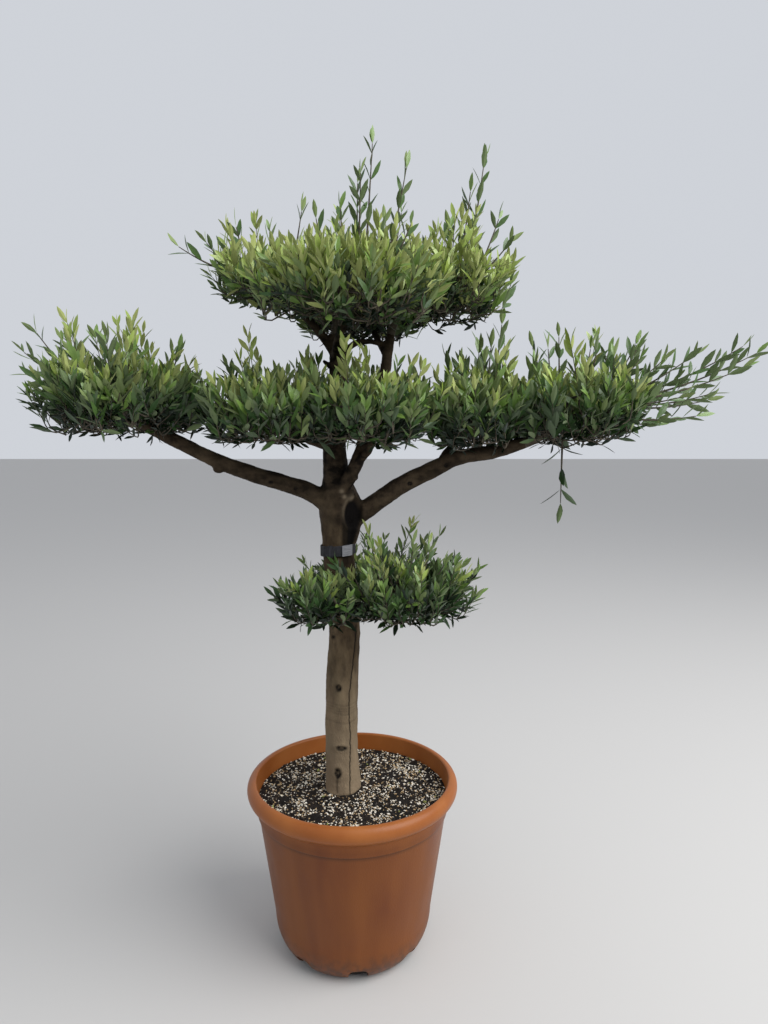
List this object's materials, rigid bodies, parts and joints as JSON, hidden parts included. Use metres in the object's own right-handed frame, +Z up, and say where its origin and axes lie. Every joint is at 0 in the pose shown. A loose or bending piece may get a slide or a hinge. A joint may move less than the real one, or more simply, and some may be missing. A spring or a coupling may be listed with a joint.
{
  "type": "potted olive tree",
  "caption": "Olive tree in a round plastic pot, pruned into flat clouds of leaves on spreading boughs round a single straight trunk.",
  "frame": {"origin": "centre of the pot's flat underside", "axes": "+Z up, +X towards the bough with the long drooping shoots, -Y towards the front of the tree"},
  "size_m": [2.014, 0.8407, 2.2703],
  "materials": {
    "pot_plastic": "satin terracotta-coloured moulded plastic",
    "potting_soil": "moist peat with white grit",
    "trunk_bark": "smooth grey-beige bark with wrinkles and knots",
    "bough_bark": "dark grey-brown bark",
    "strap_rubber": "matt black band",
    "plate_plastic": "bare grey plate",
    "foliage": "leathery grey-green leaves, silvery below"
  },
  "bodies": {
    "root": {"pot": "pot_plastic", "soil": "potting_soil", "trunk": "trunk_bark", "leader": "bough_bark", "second_stem": "bough_bark", "bough_left": "bough_bark", "bough_right": "bough_bark", "bough_right_inner": "bough_bark", "bough_top_left": "bough_bark", "bough_top_front": "bough_bark", "bough_top_back": "bough_bark", "bough_middle_left": "bough_bark", "bough_middle_right": "bough_bark", "bough_middle_back": "bough_bark", "bough_low_left": "bough_bark", "bough_low_right": "bough_bark", "bough_low_back": "bough_bark", "strap": "strap_rubber", "strap_plate": "plate_plastic", "cloud_top_middle": "foliage", "cloud_top_left": "foliage", "cloud_top_right": "foliage", "cloud_top_front": "foliage", "cloud_top_back": "foliage", "cloud_middle_left": "foliage", "cloud_middle_right": "foliage", "cloud_middle_back": "foliage", "cloud_left": "foliage", "cloud_right_inner": "foliage", "cloud_right_outer": "foliage", "cloud_low_left": "foliage", "cloud_low_right": "foliage", "cloud_low_back": "foliage"}
  },
  "joints": []
}
